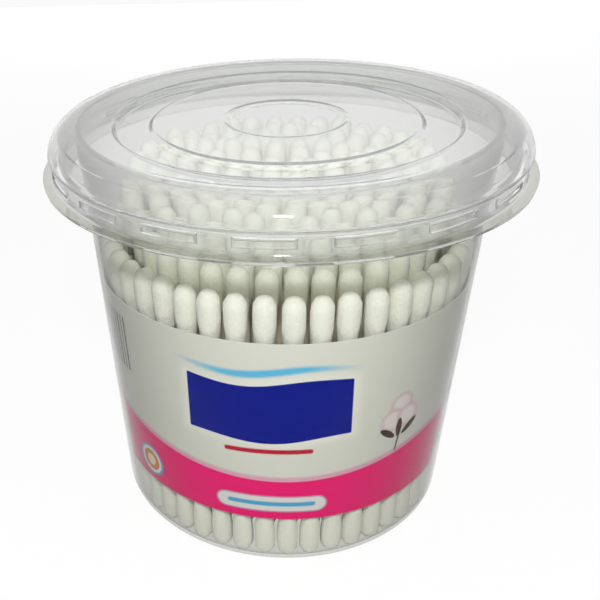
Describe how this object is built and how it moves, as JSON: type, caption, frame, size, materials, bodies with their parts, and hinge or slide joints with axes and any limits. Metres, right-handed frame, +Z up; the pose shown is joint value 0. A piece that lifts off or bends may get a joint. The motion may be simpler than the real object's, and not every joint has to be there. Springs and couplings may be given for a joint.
{
  "type": "cotton swab tub",
  "caption": "Round clear tapered tub packed with upright two-headed cotton swabs, with a printed paper liner inside its wall and a clear snap lid that lifts off.",
  "frame": {"origin": "centre of the foot ring's plane, on the table", "axes": "+Z up through the middle of the tub and lid; -Y towards the middle of the liner's printed front; +X to the right of someone facing it"},
  "size_m": [0.112, 0.112, 0.0995],
  "materials": {
    "clear_tub": "clear thin-wall plastic, glossy",
    "clear_lid": "clear formed sheet, glossy",
    "printed_paper": "coated paper with printed colour fields",
    "stick": "rolled white paper, matt",
    "cotton": "wound cotton, matt"
  },
  "bodies": {
    "tub": {"tub": "clear_tub", "label": "printed_paper", "ring_1_sticks": "stick", "ring_1_lower_tips": "cotton", "ring_1_upper_tips": "cotton", "ring_2_sticks": "stick", "ring_2_lower_tips": "cotton", "ring_2_upper_tips": "cotton", "ring_3_sticks": "stick", "ring_3_lower_tips": "cotton", "ring_3_upper_tips": "cotton", "ring_4_sticks": "stick", "ring_4_lower_tips": "cotton", "ring_4_upper_tips": "cotton", "ring_5_sticks": "stick", "ring_5_lower_tips": "cotton", "ring_5_upper_tips": "cotton", "ring_6_sticks": "stick", "ring_6_lower_tips": "cotton", "ring_6_upper_tips": "cotton", "ring_7_sticks": "stick", "ring_7_lower_tips": "cotton", "ring_7_upper_tips": "cotton", "centre_stick": "stick", "centre_lower_tip": "cotton", "centre_upper_tip": "cotton"},
    "lid": {"lid": "clear_lid"}
  },
  "joints": [
    {"name": "lid_lift", "type": "slide", "parent": "tub", "child": "lid", "axis": [0, 0, 1], "range_m": [0, 0.03]}
  ]
}
